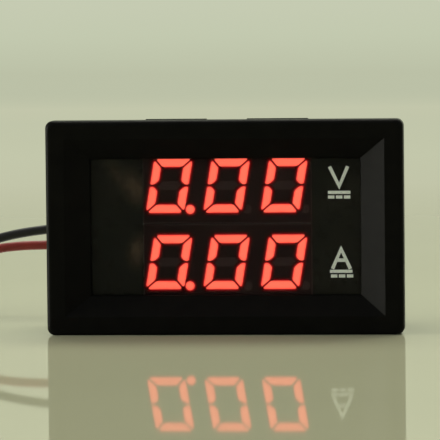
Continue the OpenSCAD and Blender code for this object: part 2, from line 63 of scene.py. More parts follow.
CASE_DEPTH = 21.0
MIDDLE_Z = 14.4
PANE_FRONT, FILM_FRONT, DISPLAY_FRONT = 2.3, 3.3, 3.5
BOARD_FRONT, BOARD_BACK = 9.6, 11.2
DISPLAY_X, DISPLAY_Z = 0.2, (19.9, 9.6)
DISPLAY_SIZE = (22.8, 10.2)
DIGIT_W, DIGIT_H, DIGIT_PITCH, DIGIT_SHIFT = 5.3, 7.4, 7.75, -0.13
BAR_W, BAR_GAP, BAR_CUT, BAR_DEPTH = 1.2, 0.1, 0.5, 1.5
SLANT = math.radians(9.7)
DOT_AT, DOT_R = (2.8, -3.2), 0.62
ROW_SHIFT, BAR_INSET = (0.05, -0.06), 0.035
GLINT_W = 0.18
PIN_XS = DISPLAY_X + (np.arange(6) - 2.5) * 2.54
PIN_ROW = 4.0
SUPPLY_AT, SUPPLY_ZS = (-12.5, 13.4), (14.65, 12.15)
MEASURE_AT, MEASURE_ZS = (16.0, 11.0), (7.04, 11.0, 14.96)
SHUNT_XS, SHUNT_Z = (-18.3, -9.3), 5.8
TRIMMERS_AT = ((12.3, 22.2), (17.8, 22.2))
REGULATOR_AT, DIODE_AT = (-17.4, 22.2), (-11.4, 22.6)
TANTALUM_AT = ((-18.6, 16.4), (-18.6, 11.4))
RESISTORS_AT = (
    (-4.6, 8), (-4.6, 9.4), (-4.6, 10.8), (4.6, 8), (4.6, 9.4), (4.6, 10.8),
    (-5.2, 18.2), (-5.2, 19.6), (-5.2, 21), (5.2, 18.2), (9.8, 8), (9.8, 9.4),
    (9.8, 10.8), (9.8, 14.6), (9.8, 16),
)
CAPACITORS_AT = ((5.2, 19.8), (5.2, 21.4), (9.2, 18.6), (-8.4, 19.4), (-8.4, 8.6), (9.8, 5.4))

# Routes of the two leads, from the plug to the coil and from the coil to the bare end
BLACK_RUN = (
    (-12.5, 9.35, 14.65), (-12.5, 13.5, 14.65), (-12.9, 16, 14.4), (-14.2, 18.4, 14.2),
    (-16.4, 20.2, 13.9), (-19.2, 21, 13.5), (-22, 21.1, 13.2), (-25, 21.1, 12.8),
    (-28, 21.1, 12.4), (-31, 21.1, 12), (-34, 21, 11.4), (-37, 20.9, 10.5),
    (-40, 20.7, 9.2), (-43, 20.5, 7.6), (-46, 20.3, 5.7), (-49, 20.1, 3.8),
    (-52, 20, 2.2), (-55, 20, 1.2), (-58, 20, 0.95),
)
BLACK_TAIL = (
    (-58, 20, 3.55), (-60.5, 20, 3), (-63, 20.1, 1.8), (-65.5, 20.2, 0.8), (-67.5, 20.3, 0.65),
)
BLACK_HUB = (-58, 12.9)
RED_RUN = (
    (-12.5, 9.35, 12.15), (-12.5, 13.5, 12.15), (-12.6, 16.5, 11.9), (-13.4, 19.4, 11.6),
    (-15, 22, 11.2), (-17.3, 24, 10.8), (-20, 25.1, 10.5), (-23, 25.5, 10.2),
    (-26, 25.6, 10), (-29, 25.6, 9.9), (-32, 25.6, 9.8), (-35, 25.6, 9.5),
    (-38, 25.7, 8.8), (-41, 25.8, 7.7), (-44, 25.9, 6.2), (-47, 26, 4.5),
    (-50, 26, 2.9), (-53, 26, 1.6), (-56, 26, 0.95),
)
RED_TAIL = (
    (-56, 26, 3.55), (-58.5, 26, 3), (-61, 25.9, 1.8), (-63.5, 25.8, 0.8), (-65.5, 25.7, 0.65),
)
RED_HUB = (-56, 33.1)
COIL_BOTTOM, COIL_TOP = 0.95, 3.55


# ---- user settings ----


def tint(name, description, colour, high=1):
    """A colour setting."""
    return FloatVectorProperty(
        name=name, description=description, subtype="COLOR", default=colour, min=0, max=high
    )


class LeadSettings(bpy.types.PropertyGroup):
    diameter: FloatProperty(
        name="Diameter", description="Outside diameter of one lead", default=0.0013,
        min=0.0008, max=0.0016, unit="LENGTH",
    )
    coil_radius: FloatProperty(
        name="Coil radius", description="Radius of the middle of the coiled turns",
        default=0.0071, min=0.006, max=0.0075, unit="LENGTH",
    )
    length: FloatProperty(
        name="Length", description="Whole length of one lead", default=0.156,
        min=0.15, max=0.16, unit="LENGTH",
    )
    black: tint(
        "Black", "Colour of the supply minus lead", (0.006, 0.006, 0.005)
    )
    red: tint(
        "Red", "Colour of the supply plus lead", (0.30, 0.03, 0.02)
    )


class ReadoutSettings(bpy.types.PropertyGroup):
    core: tint(
        "Core", "Light colour in the middle of a lit bar", (1.0, 0.132, 0.076), 2
    )
    rim: tint(
        "Rim", "Light colour at the rim of a lit bar", (0.55, 0.03, 0.022)
    )
    power: FloatProperty(
        name="Brightness", description="Strength of the lit bars", default=1.25, min=0, max=5,
    )
    crown: FloatProperty(
        name="Crown", description="How far a bar's middle stands proud of its rim",
        default=0.00003, min=0, max=0.00005, unit="LENGTH",
    )


class FinishSettings(bpy.types.PropertyGroup):
    housing: tint(
        "Housing", "Colour of the moulded housing", (0.0036, 0.0036, 0.0027)
    )
    board: tint(
        "Board", "Colour of the solder mask", (0.008, 0.075, 0.03)
    )
    marks: tint(
        "Unit marks", "Colour of the printed unit marks", (0.72, 0.77, 0.68)
    )


class StageSettings(bpy.types.PropertyGroup):
    floor: tint(
        "Floor", "Colour of the floor and backdrop", (0.58, 0.59, 0.40)
    )
    mirror: FloatProperty(
        name="Mirror share", description="Share of the floor's look that is a reflection",
        default=0.40, min=0, max=1, subtype="FACTOR",
    )
    key: FloatProperty(
        name="Key strength", description="Strength of the broad low light from the left",
        default=2.0, min=0, max=10,
    )
    top: FloatProperty(
        name="Top strength", description="Strength of the light from above and behind",
        default=2.5, min=0, max=10,
    )
    sky: FloatProperty(
        name="Sky strength", description="Strength of the light from all round",
        default=0.40, min=0, max=3,
    )
    lens: FloatProperty(
        name="Focal length", description="Focal length of the camera", default=345.03,
        min=50, max=500, unit="CAMERA",
    )


# ---- shapes ----


def loft(rings):
    """A closed solid from rings[i, j], point j of ring i: four-sided faces join each ring to
    the next and each point to its neighbour, and one flat face closes either end."""
    rows, columns = rings.shape[:2]
    row, column = np.meshgrid(np.arange(rows - 1), np.arange(columns), indexing="ij")
    beside = (column + 1) % columns
    quads = np.stack(
        [row * columns + column, row * columns + beside,
         (row + 1) * columns + beside, (row + 1) * columns + column], -1,
    ).reshape(-1, 4)
    ends = [list(range(columns))[::-1], list(range((rows - 1) * columns, rows * columns))]
    return rings.reshape(-1, 3), quads.tolist() + ends


def joined(solids):
    """Several solids as one list of points and one list of faces."""
    points, faces, start = [], [], 0
    for some_points, some_faces in solids:
        points.append(some_points)
        faces += [[start + i for i in face] for face in some_faces]
        start += len(some_points)
    return np.concatenate(points), faces


def at_depth(depth):
    """Y in metres of a depth in millimetres behind the face."""
    return (np.asarray(depth, float) - CASE_DEPTH / 2) * MM


def standing(outlines, depths):
    """Rings in metres from outlines[i, j] = (x, z) in millimetres, each at its depth."""
    outlines = np.asarray(outlines, float)
    depth = np.broadcast_to(at_depth(depths)[:, None], outlines.shape[:2])
    return np.stack([outlines[..., 0] * MM, depth, outlines[..., 1] * MM], -1)


def turned(centre, profile, sides=24):
    """A profile of (radius, depth) pairs turned about the line through centre that runs
    front to back: x = cx + r cos a, z = cz + r sin a."""
    profile = np.asarray(profile, float)
    angle = np.arange(sides) * 2 * math.pi / sides
    circle = np.stack([np.cos(angle), np.sin(angle)], -1)
    return loft(standing(np.asarray(centre) + profile[:, :1, None] * circle, profile[:, 1]))


def rounded_outline(half_w, half_h, corner, steps=5):
    """Rectangle with round corners: quarter circles about the four corner centres."""
    angle = np.linspace(0, math.pi / 2, steps)
    quarter = np.arange(4)[:, None] * math.pi / 2
    arc = corner * np.stack([np.cos(angle + quarter), np.sin(angle + quarter)], -1)
    signs = np.array([[1, 1], [-1, 1], [-1, -1], [1, -1]])[:, None]
    return (arc + signs * np.array([half_w - corner, half_h - corner])).reshape(-1, 2)


def block(centre, size, base, height, edge=0.08, corner=0.1, draft=0.0, parting=0.02):
    """A moulded block on the plane at depth base, rising height to the back: its outline
    shrinks by d (rise - p) / (height - p) above the parting line p, d being the draft, and
    by e (1 - cos t) round the quarter-circle edge."""
    turn = np.linspace(0, math.pi / 2, 4)
    rise = np.concatenate([[0.0, parting], height - edge + edge * np.sin(turn)])
    round_off = np.concatenate([[0.0, 0.0], edge * (1 - np.cos(turn))])
    inset = round_off + draft * np.clip((rise - parting) / (height - parting), 0, 1)
    half = np.asarray(size, float) / 2
    outlines = [
        rounded_outline(half[0] - i, half[1] - i, max(corner - i, 0.02)) for i in inset
    ]
    return loft(standing(np.asarray(centre) + np.array(outlines), base + rise))


def strip(line, width, front, back):
    """A flat strip of even width along a line of (x, z) points, mitred at its bends: each
    point moves out by half the width along the mean of its neighbours' normals."""
    line = np.asarray(line, float)
    step = np.diff(line, axis=0)
    step /= np.linalg.norm(step, axis=1, keepdims=True)
    before, after = np.vstack([step[:1], step]), np.vstack([step, step[-1:]])
    mean = before + after
    mean /= np.linalg.norm(mean, axis=1, keepdims=True)
    reach = width / 2 / np.maximum((mean * after).sum(1, keepdims=True), 0.5)
    out = np.stack([-mean[:, 1], mean[:, 0]], -1) * reach
    sides = np.stack([line + out, line + out, line - out, line - out], 1)
    depth = np.broadcast_to(at_depth([front, back, back, front]), sides.shape[:2])
    return loft(np.stack([sides[..., 0] * MM, depth, sides[..., 1] * MM], -1))


def smooth_line(points, per_span=6):
    """Catmull-Rom curve through points: on each span a cubic in t whose slopes at the ends
    are half the difference of the neighbouring points."""
    p = np.asarray(points, float)
    p = np.vstack([2 * p[0] - p[1], p, 2 * p[-1] - p[-2]])
    a, b, c, d = p[:-3, None], p[1:-2, None], p[2:-1, None], p[3:, None]
    t = (np.arange(per_span) / per_span)[None, :, None]
    curve = 0.5 * (
        2 * b + (c - a) * t + (2 * a - 5 * b + 4 * c - d) * t**2
        + (3 * b - a - 3 * c + d) * t**3
    )
    return np.vstack([curve.reshape(-1, p.shape[1]), p[-2]])


def tube(path, radius, sides=16):
    """A circle carried along a path, square to its heading h: centre + r (s cos a + u sin a),
    with s level and across h, and u across both."""
    heading = np.gradient(path, axis=0)
    heading /= np.linalg.norm(heading, axis=1, keepdims=True)
    across = np.cross(heading, UP)
    across /= np.linalg.norm(across, axis=1, keepdims=True)
    over = np.cross(across, heading)
    angle = np.arange(sides) * 2 * math.pi / sides
    spoke = (
        across[:, None] * np.cos(angle)[:, None] + over[:, None] * np.sin(angle)[:, None]
    )
    radius = np.broadcast_to(np.asarray(radius, float), len(path))
    return loft(path[:, None] + radius[:, None, None] * spoke)


def add_piece(name, solid, material, body="meter", stands_for=(), sharp=35):
    """Puts a solid into the scene as one piece on a body, with its faces turned outwards,
    edges sharper than the given angle kept crisp, and its finish."""
    points, faces = solid
    mesh = bpy.data.meshes.new(name)
    mesh.from_pydata(np.asarray(points, float).tolist(), [], faces)
    shell = bmesh.new()
    shell.from_mesh(mesh)
    bmesh.ops.recalc_face_normals(shell, faces=shell.faces)
    shell.to_mesh(mesh)
    shell.free()
    mesh.polygons.foreach_set("use_smooth", np.ones(len(mesh.polygons), bool))
    mesh.set_sharp_from_angle(angle=math.radians(sharp))
    mesh.materials.append(material)
    piece = bpy.data.objects.new(name, mesh)
    bpy.context.scene.collection.objects.link(piece)
    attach(piece, body)
    if stands_for:
        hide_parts(*stands_for)
    return piece


# ---- finishes ----

DISPLAY_TONE = (0.0145, 0.004, 0.0047)


class Finish:
    """A material with short ways of adding its nodes."""

    def __init__(self, name, colour, roughness, **sockets):
        self.material = bpy.data.materials.new(name)
        self.material.use_nodes = True
        self.nodes = self.material.node_tree.nodes
        self.links = self.material.node_tree.links
        self.shader = self.nodes["Principled BSDF"]
        self.output = self.nodes["Material Output"]
        self.put("Base Color", colour)
        self.put("Roughness", roughness)
        for socket, value in sockets.items():
            self.put(socket.replace("_", " "), value)
        self.place = self.nodes.new("ShaderNodeTexCoord").outputs["Object"]

    def feed(self, socket, value):
        """Sets a socket to a value, or links another socket to it."""
        if isinstance(value, bpy.types.NodeSocket):
            self.links.new(value, socket)
        elif hasattr(value, "__len__") and len(value) == 3 and socket.type == "RGBA":
            socket.default_value = (*value, 1)
        else:
            socket.default_value = value

    def put(self, name, value):
        self.feed(self.shader.inputs[name], value)

    def add(self, kind, inputs, **settings):
        """A node with its settings, and its inputs by name or number."""
        node = self.nodes.new("ShaderNode" + kind)
        for name, value in settings.items():
            setattr(node, name, value)
        for name, value in inputs.items():
            self.feed(node.inputs[name], value)
        return node

    def noise(self, grain, detail=3.0, stretch=(1, 1, 1), place=None, distortion=0.0):
        """Noise from 0 to 1 whose grains are about so many millimetres across."""
        spot = self.add(
            "Mapping", {"Vector": place or self.place, "Scale": [s / (grain * MM) for s in stretch]}
        )
        return self.add(
            "TexNoise", {"Vector": spot.outputs[0], "Scale": 1.0, "Detail": detail,
                         "Distortion": distortion},
        ).outputs["Fac"]

    def ramp(self, factor, *stops):
        """A smooth change through (place, colour) stops."""
        node = self.add("ValToRGB", {"Fac": factor})
        elements = node.color_ramp.elements
        while len(elements) < len(stops):
            elements.new(0.5)
        for element, (place, colour) in zip(elements, stops):
            element.position = place
            element.color = (*colour, 1) if len(colour) == 3 else colour
        return node.outputs["Color"]

    def shade(self, factor, low, high, start=0.3, end=0.7):
        """A grey value that goes from low to high as the factor goes from start to end."""
        return self.add(
            "MapRange", {"Value": factor, "From Min": start, "From Max": end,
                         "To Min": low, "To Max": high},
        ).outputs[0]

    def tints(self, factor, colour, spread, start=0.3, end=0.7):
        """The colour made darker and lighter by the spread as the factor changes."""
        low = [c * (1 - spread) for c in colour]
        high = [c * (1 + spread) for c in colour]
        return self.ramp(factor, (start, low), (end, high))

    def mottle(self, colour, spread, *grain):
        """Colours the surface with grains of noise, darker and lighter by the spread."""
        self.put("Base Color", self.tints(self.noise(*grain), colour, spread))

    def uneven(self, low, high, *grain):
        """Lets the roughness wander between two values with grains of noise."""
        self.put("Roughness", self.shade(self.noise(*grain), low, high))

    def bump(self, height, strength, depth, worn=0.0):
        """A rough or wavy surface, its depth in millimetres, with its edges lit as if they
        were worn round to a radius in millimetres."""
        node = self.add("Bump", {"Height": height, "Strength": strength, "Distance": depth * MM})
        if worn:
            edges = self.add("Bevel", {"Radius": worn * MM}, samples=6)
            self.links.new(edges.outputs[0], node.inputs["Normal"])
        self.put("Normal", node.outputs[0])

    def reflection_patch(self, centre, size, lean):
        """A soft patch on an upright face, used for painted reflection: 1 at its middle (x, z), 0
        past its two half sizes in millimetres, turned by the lean in degrees."""
        spot = self.add(
            "Mapping", {"Vector": self.place, "Location": (centre[0] * MM, 0, centre[1] * MM),
                        "Rotation": (0, math.radians(lean), 0),
                        "Scale": (size[0] * MM, 1, size[1] * MM)}, vector_type="TEXTURE",
        )
        return self.add("TexGradient", {"Vector": spot.outputs[0]},
                        gradient_type="SPHERICAL").outputs["Fac"]

    def product(self, a, b, operation="MULTIPLY"):
        return self.add("Math", {0: a, 1: b}, operation=operation).outputs[0]


def satin_abs(colour):
    """Black moulding with a fine spark-eroded grain and faint rubbing."""
    f = Finish("black_abs", colour, 0.4, Specular_IOR_Level=0.07)
    f.mottle(colour, 0.25, 2.5)
    f.uneven(0.34, 0.44, 1.2)
    f.bump(f.noise(0.13, 4), 0.6, 0.02, worn=0.16)
    return f.material


def clear_acrylic():
    """Clear pane: glass that bends light a little and lets lamps through to the film."""
    f = Finish("clear_acrylic", (0.97, 0.97, 0.96), 0.03, Transmission_Weight=1.0, IOR=1.12)
    f.uneven(0.02, 0.06, 6, 2)
    clear = f.add("BsdfTransparent", {"Color": (0.93, 0.93, 0.92)})
    ray = f.add("LightPath", {})
    mix = f.add("MixShader", {0: ray.outputs["Is Shadow Ray"], 1: f.shader.outputs[0],
                              2: clear.outputs[0]})
    f.links.new(mix.outputs[0], f.output.inputs["Surface"])
    return f.material


def printed_film():
    """Glossy black print with painted reflection: soft brown clouds on its left strip, with painted
    glints in the upper one, over a faint random haze.
    """
    f = Finish("black_film", (0.004, 0.004, 0.003), 0.3, Specular_IOR_Level=0.1)
    # Painted reflection: soft areas on the film's left strip, lightened into its colour.
    reflection_patches = ((-12.4, 19.6), (2.2, 3.6), -22), ((-11.9, 11.2), (1.9, 3.2), 12)
    high, low = (f.reflection_patch(*patch) for patch in reflection_patches)
    reflection_veil = f.product(f.reflection_patch((-14.6, 21.6), (1.6, 4.2), -38), 0.5)
    painted_reflection = f.product(f.product(high, low, "MAXIMUM"), reflection_veil, "MAXIMUM")
    painted_reflection = f.product(painted_reflection, f.shade(f.noise(1.6, 3, distortion=0.8), 0.45, 1.15))
    # Painted glints: bright specks inside the upper area of painted reflection.
    specks = f.product(f.product(high, f.shade(f.noise(0.16, 1), 0, 1.6, 0.62, 0.75)), 0.35)
    haze = f.shade(f.noise(5, 2, distortion=0.5), 0.0, 0.1, 0.42, 0.7)
    reflection_glints_and_haze = f.product(f.product(painted_reflection, specks, "ADD"), haze, "ADD")
    # The painted reflection, painted glints and haze lighten the print's colour towards brown.
    colour = f.ramp(reflection_glints_and_haze, (0.0, (0.0055, 0.0057, 0.004)), (0.35, (0.028, 0.022, 0.015)),
                    (0.8, (0.09, 0.062, 0.042)))
    f.put("Base Color", colour)
    f.uneven(0.24, 0.36, 1.5)
    f.bump(f.noise(0.5, 2), 0.15, 0.01)
    return f.material


def display_face():
    """Dark painted face of a readout, a little red where the light bleeds through."""
    f = Finish("display_body", DISPLAY_TONE, 0.55, Specular_IOR_Level=0.1)
    f.mottle(DISPLAY_TONE, 0.22, 1.1, 4)
    f.uneven(0.48, 0.62, 0.5)
    f.bump(f.noise(0.09, 3), 0.3, 0.01)
    return f.material


def display_edge_glint():
    """Painted highlight: a reddish brown glint along the edge of a display's case, lighter and
    darker at random.
    """
    # Painted highlight: this colour, lighter than the display face, stands for the glint on the
    # case's edge.
    colour = (0.03, 0.013, 0.013)
    f = Finish("display_edge_glint", colour, 0.5, Specular_IOR_Level=0.2)
    f.mottle(colour, 0.3, 1.4, 3)
    f.uneven(0.44, 0.58, 0.4)
    return f.material


def lit_resin(core, rim, power):
    """Glowing resin: deep red at the rim of a bar and orange in its middle."""
    f = Finish("lit_bar", (0.25, 0.02, 0.015), 0.4, Emission_Strength=power)
    inner = f.add("Attribute", {}, attribute_name="inner").outputs["Fac"]
    uneven = f.add("Math", {0: inner, 1: f.shade(f.noise(0.9, 2), -0.06, 0.06)}, operation="ADD")
    middle = [0.5 * (a + b) for a, b in zip(core, rim)]
    glow = f.ramp(uneven.outputs[0], (0.0, rim), (0.14, middle), (0.42, core))
    f.put("Emission Color", glow)
    return f.material


def painted_glow_face():
    """Painted glow: display face beside a lit bar, emitting red for the bar's light scattered into
    the face, fading with the distance.
    """
    f = Finish("painted_glow_face", DISPLAY_TONE, 0.55, Specular_IOR_Level=0.1)
    near = f.add("Attribute", {}, attribute_name="inner").outputs["Fac"]
    glow = f.ramp(
        near, (0.0, (0, 0, 0)), (0.22, (0.014, 0, 0)), (0.44, (0.04, 0, 0.0003)),
        (0.67, (0.10, 0, 0.0006)), (0.84, (0.24, 0.002, 0.005)), (1.0, (0.5, 0.01, 0.016)),
    )
    f.put("Base Color", f.ramp(near, (0.3, DISPLAY_TONE), (0.7, (0.004, 0.001, 0.001))))
    # Painted glow: the face emits the red halo round the bar, though it is no lamp.
    f.put("Emission Color", glow)
    f.put("Emission Strength", 1.0)
    f.uneven(0.48, 0.62, 0.5)
    return f.material


def dark_resin():
    """Unlit bar: grey-brown translucent resin."""
    colour = (0.036, 0.0185, 0.0195)
    f = Finish("dark_bar", colour, 0.45, Specular_IOR_Level=0.15)
    f.mottle(colour, 0.12, 0.7)
    f.uneven(0.4, 0.5, 0.4)
    return f.material


def tinned_metal():
    """Dull tin plate with fine drawing marks."""
    f = Finish("tinned_metal", (0.62, 0.61, 0.57), 0.32, Metallic=1.0)
    f.mottle((0.62, 0.61, 0.57), 0.12, 0.5)
    f.put("Roughness", f.shade(f.noise(0.25, 3, stretch=(1, 0.15, 1)), 0.24, 0.42))
    f.bump(f.noise(0.12, 2, stretch=(1, 0.1, 1)), 0.15, 0.01)
    return f.material


def solder_metal():
    """Bright solder with a slightly frosted, dimpled skin."""
    f = Finish("solder", (0.68, 0.68, 0.66), 0.25, Metallic=1.0)
    f.mottle((0.68, 0.68, 0.66), 0.1, 0.6)
    f.uneven(0.16, 0.4, 0.35, 3)
    f.bump(f.noise(0.3, 3), 0.25, 0.02)
    return f.material


def solder_mask(name, colour, gloss=0.3):
    """Green lacquer over woven glass: two fine crossed waves show the weave, and the sawn
    edge of the board shows the bare laminate."""
    f = Finish(name, colour, gloss, Coat_Weight=0.4, Coat_Roughness=0.12)
    waves = [
        f.add("TexWave", {"Vector": f.place, "Scale": 330.0, "Distortion": 0.6},
              bands_direction=axis).outputs["Fac"] for axis in ("X", "Z")
    ]
    weave = f.add("Math", {0: waves[0], 1: waves[1]}, operation="MULTIPLY").outputs[0]
    face = f.tints(weave, colour, 0.18, 0.0, 1.0)
    side = f.add("SeparateXYZ", {0: f.add("NewGeometry", {}).outputs["Normal"]}).outputs["Y"]
    flat = f.add("Math", {0: side}, operation="ABSOLUTE").outputs[0]
    edge = f.tints(f.noise(0.3, 3, stretch=(0.2, 3, 0.2)), (0.23, 0.22, 0.10), 0.25)
    colour_mix = f.add(
        "Mix", {0: f.shade(flat, 0, 1, 0.4, 0.6), 6: edge, 7: face}, data_type="RGBA"
    )
    f.put("Base Color", colour_mix.outputs[2])
    f.put("Roughness", f.shade(f.noise(1.5), gloss - 0.06, gloss + 0.08))
    f.bump(weave, 0.12, 0.01)
    return f.material


def silk_print():
    """White ink, thin in places."""
    f = Finish("silk_print", (0.66, 0.67, 0.62), 0.6)
    f.mottle((0.62, 0.64, 0.58), 0.15, 0.2, 4)
    f.bump(f.noise(0.1, 3), 0.3, 0.01)
    return f.material


def mark_ink_and_glow(colour):
    """Pale grey print of the unit marks, a little uneven, which also glows faintly in its own
    colour as painted light.
    """
    f = Finish("mark_ink_and_glow", colour, 0.55, Emission_Strength=0.12)
    ink_and_glow_colour = f.tints(f.noise(0.25, 3), colour, 0.12)
    f.put("Base Color", ink_and_glow_colour)
    # Painted light: the print glows faintly though it is no lamp.
    f.put("Emission Color", ink_and_glow_colour)
    return f.material


def chip_epoxy():
    """Black moulding compound with a fine matt grain."""
    f = Finish("chip_epoxy", (0.014, 0.014, 0.015), 0.55)
    f.mottle((0.015, 0.015, 0.016), 0.3, 0.15, 4)
    f.uneven(0.5, 0.66, 0.5)
    f.bump(f.noise(0.06, 3), 0.5, 0.01)
    return f.material


def tantalum_resin():
    """Yellow moulding resin, faintly mottled."""
    colour = (0.66, 0.36, 0.055)
    f = Finish("tantalum_resin", colour, 0.42)
    f.mottle(colour, 0.1, 0.35, 4)
    f.uneven(0.36, 0.5, 0.4)
    f.bump(f.noise(0.08, 3), 0.3, 0.01)
    return f.material


def stripe_ink():
    """Dark brown band printed on a capacitor or pale band on a diode's end."""
    f = Finish("stripe_ink", (0.12, 0.03, 0.015), 0.5)
    f.mottle((0.12, 0.03, 0.015), 0.2, 0.15, 3)
    return f.material


def resistor_glaze():
    """Black glassy glaze over the ceramic."""
    f = Finish("resistor_glaze", (0.012, 0.012, 0.014), 0.25, Coat_Weight=0.3)
    f.mottle((0.013, 0.013, 0.015), 0.3, 0.2, 3)
    f.uneven(0.2, 0.34, 0.3)
    f.bump(f.noise(0.25, 2), 0.2, 0.01)
    return f.material


def capacitor_ceramic():
    """Tan fired ceramic with fine specks."""
    colour = (0.36, 0.22, 0.11)
    f = Finish("capacitor_ceramic", colour, 0.5)
    f.mottle(colour, 0.2, 0.08, 4)
    f.uneven(0.42, 0.58, 0.3)
    f.bump(f.noise(0.07, 3), 0.3, 0.01)
    return f.material


def shunt_alloy():
    """Copper-coloured resistance wire, drawn and a little tarnished."""
    colour = (0.62, 0.36, 0.21)
    f = Finish("shunt_alloy", colour, 0.35, Metallic=1.0)
    f.mottle(colour, 0.22, 1.2, 4)
    f.uneven(0.26, 0.46, 0.3, 3)
    f.bump(f.noise(0.15, 3, stretch=(0.15, 1, 1)), 0.3, 0.02)
    return f.material


def trimmer_case():
    """Pale grey heat-proof moulding."""
    colour = (0.62, 0.62, 0.58)
    f = Finish("trimmer_body", colour, 0.45)
    f.mottle(colour, 0.07, 0.4, 3)
    f.uneven(0.38, 0.52, 0.4)
    f.bump(f.noise(0.08, 3), 0.3, 0.01)
    return f.material


def turned_brass(name, colour):
    """Stamped brass with rubbed highlights."""
    f = Finish(name, colour, 0.3, Metallic=1.0)
    f.mottle(colour, 0.15, 0.5, 3)
    f.uneven(0.22, 0.42, 0.2, 3)
    f.bump(f.noise(0.12, 2), 0.2, 0.01)
    return f.material


def white_nylon():
    """Milky connector nylon that lets a little light in."""
    colour = (0.78, 0.77, 0.70)
    f = Finish("white_nylon", colour, 0.42, Subsurface_Weight=0.25)
    f.put("Subsurface Radius", (0.0006, 0.0005, 0.0004))
    f.put("Subsurface Scale", 1.0)
    f.mottle(colour, 0.05, 1.5, 3)
    f.uneven(0.36, 0.5, 0.6)
    f.bump(f.noise(0.2, 3), 0.2, 0.01)
    return f.material


def lead_pvc(name, colour):
    """Soft PVC with fine lines drawn along the lead: the pattern follows the lead's map."""
    f = Finish(name, colour, 0.4, Specular_IOR_Level=0.45)
    along = f.add("UVMap", {}, uv_map="UVMap").outputs[0]
    lines = f.noise(1, 3, stretch=(0.02, 0.0006, 1), place=along)
    f.mottle(colour, 0.15, 2.0, 3)
    f.put("Roughness", f.shade(lines, 0.32, 0.48))
    f.bump(lines, 0.25, 0.02)
    return f.material


def tie_plastic():
    """Dark soft tie with a fine lengthwise grain."""
    f = Finish("tie_plastic", (0.02, 0.02, 0.02), 0.5)
    f.mottle((0.02, 0.02, 0.02), 0.25, 0.4, 3)
    f.uneven(0.42, 0.58, 0.3)
    f.bump(f.noise(0.12, 3), 0.3, 0.01)
    return f.material


# ---- leads ----


def lead_path(run, hub, tail, turn_way, radius):
    """The whole line of one lead: its run, then two turns about the hub that climb evenly,
    x = hx + r cos a, y = hy + r sin a, z rising with a, then its tail."""
    angle = turn_way * (math.pi / 2 + np.linspace(0, 4 * math.pi, 97)[1:-1])
    climb = np.linspace(COIL_BOTTOM, COIL_TOP, 97)[1:-1]
    turns = np.stack(
        [hub[0] + radius / MM * np.cos(angle), hub[1] + radius / MM * np.sin(angle), climb], -1
    )
    return np.vstack([smooth_line(run, 4), turns, smooth_line(tail, 4)]) * MM


def add_lead_map(piece, path, sides):
    """Gives a lead a map: u goes round it and v is the length along it in metres."""
    reach = np.concatenate([[0], np.cumsum(np.linalg.norm(np.diff(path, axis=0), axis=1))])
    mesh = piece.data
    corner = np.empty(len(mesh.loops), int)
    mesh.loops.foreach_get("vertex_index", corner)
    ring, spoke = corner // sides, corner % sides
    layer = mesh.uv_layers.new(name="UVMap")
    layer.data.foreach_set("uv", np.stack([spoke / sides, reach[ring]], -1).ravel())


def strands(path_end, heading, length, radius):
    """Seven tinned strands, six of them in a slow twist about the seventh: strand k goes
    round the line at r (cos(a + k 60 deg), sin(a + k 60 deg)), a growing with the length."""
    along = np.linspace(-0.4, 1, 22)
    across = np.cross(heading, UP)
    across /= np.linalg.norm(across)
    over = np.cross(across, heading)
    line = path_end + along[:, None] * length * heading
    solids = [tube(line, radius * 0.36, 10)]
    for k in range(6):
        angle = k * math.pi / 3 + along * 2.6
        swell = 0.66 * radius * (1 + 0.25 * np.clip(along - 0.6, 0, 1))
        turn = across * np.cos(angle)[:, None] + over * np.sin(angle)[:, None]
        solids.append(tube(line + swell[:, None] * turn, radius * 0.33, 10))
    return joined(solids)


class MESH_OT_supply_leads(bpy.types.Operator):
    """Make the black and the red supply lead with their coils and tinned ends"""

    bl_idname = "meter.supply_leads"
    bl_label = "Supply leads"

    def execute(self, context):
        s = context.scene.meter_leads
        sides = 16
        tin = tinned_metal()
        kinds = (
            ("black", s.black, BLACK_RUN, BLACK_HUB, BLACK_TAIL, 1, SUPPLY_ZS[0]),
            ("red", s.red, RED_RUN, RED_HUB, RED_TAIL, -1, SUPPLY_ZS[1]),
        )
        for name, colour, run, hub, tail, way, exit_z in kinds:
            path = lead_path(run, hub, tail, way, s.coil_radius)
            lead = add_piece(
                f"{name}_supply_lead", tube(path, s.diameter / 2, sides),
                lead_pvc(f"{name}_pvc", colour), "supply_lead",
                (f"{name}_lead", f"{name}_coil"), sharp=50,
            )
            add_lead_map(lead, path, sides)
            heading = path[-1] - path[-2]
            ends = add_piece(
                f"{name}_lead_strands",
                strands(path[-1], heading / np.linalg.norm(heading), 0.005, 0.00034),
                tin, "supply_lead", ("lead_tips",), sharp=60,
            )
        return {"FINISHED"}


# ---- window, unit marks and readout ----


class MESH_OT_window(bpy.types.Operator):
    """Make the clear pane with its softened edges"""

    bl_idname = "meter.window"
    bl_label = "Window pane"

    def execute(self, context):
        low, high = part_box("window_pane")
        half = np.array([high.x - low.x, high.z - low.z]) / 2 / MM
        soft = 0.08
        inset = np.array([soft, 0, 0, soft])
        depth = np.array([PANE_FRONT, PANE_FRONT + soft, FILM_FRONT - 0.13, FILM_FRONT - 0.05])
        outlines = [rounded_outline(*(half - i), 0.3) for i in inset]
        pane = loft(standing(np.array([0, MIDDLE_Z]) + np.array(outlines), depth))
        add_piece("clear_window", pane, clear_acrylic(), "meter",
                  ("window_pane",), sharp=30)
        return {"FINISHED"}


